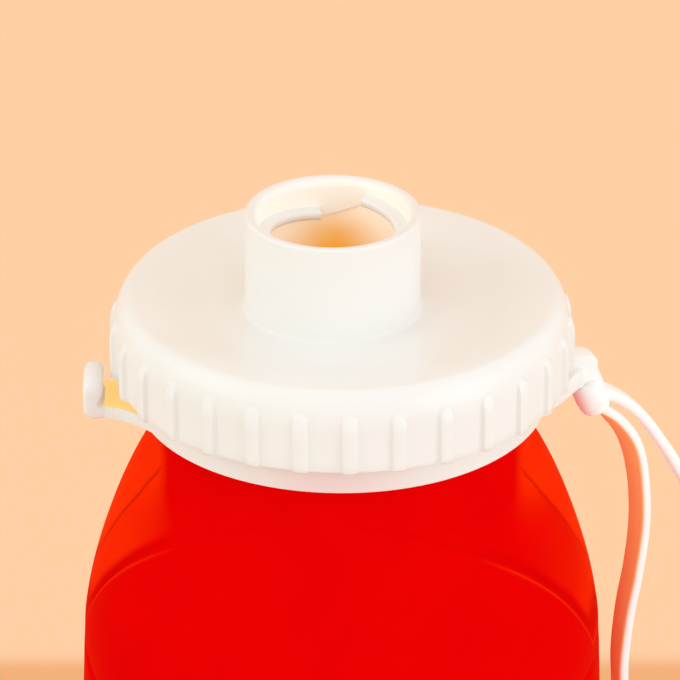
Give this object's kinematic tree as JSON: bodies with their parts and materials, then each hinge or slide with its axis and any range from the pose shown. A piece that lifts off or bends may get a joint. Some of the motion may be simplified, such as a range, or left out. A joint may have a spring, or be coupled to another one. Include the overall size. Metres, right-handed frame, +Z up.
{
  "type": "collapsible water bottle",
  "caption": "Collapsible silicone water bottle with curved fold lines, a ribbed screw cap with an open spout, and a collar with a hook and a strap.",
  "frame": {"origin": "centre of the bottle's foot, on the surface it stands on", "axes": "+Z up along the bottle's axis, +X towards the strap lug, -X towards the hook"},
  "size_m": [0.1019, 0.0788, 0.2178],
  "materials": {
    "red_silicone": "satin",
    "white_collar": "satin",
    "white_cap": "satin",
    "seal_silicone": "matte",
    "strap_silicone": "matte"
  },
  "bodies": {
    "base": {"body_base": "red_silicone", "body_wall_lower": "red_silicone"},
    "upper": {"body_wall_upper": "red_silicone", "body_shoulder": "red_silicone", "neck_liner": "white_collar", "neck_collar": "white_collar", "strap": "strap_silicone"},
    "seal": {"cap_gasket": "seal_silicone"},
    "cap": {"cap_shell": "white_cap"}
  },
  "joints": [
    {"name": "body_collapse", "type": "slide", "parent": "base", "child": "upper", "axis": [0, 0, -1], "range_m": [0, 0.068], "deforming": ["body_wall_lower", "body_wall_upper"]},
    {"name": "cap_lift", "type": "slide", "parent": "upper", "child": "seal", "axis": [0, 0, 1], "range_m": [0, 0.005]},
    {"name": "cap_turn", "type": "hinge", "parent": "seal", "child": "cap", "pos_m": [0, 0, 0.192], "axis": [0, 0, 1], "range_deg": [0, 450]}
  ],
  "couplings": [
    {"joint": "cap_lift", "follows": "cap_turn", "m_per_rad": 0.00063662}
  ]
}
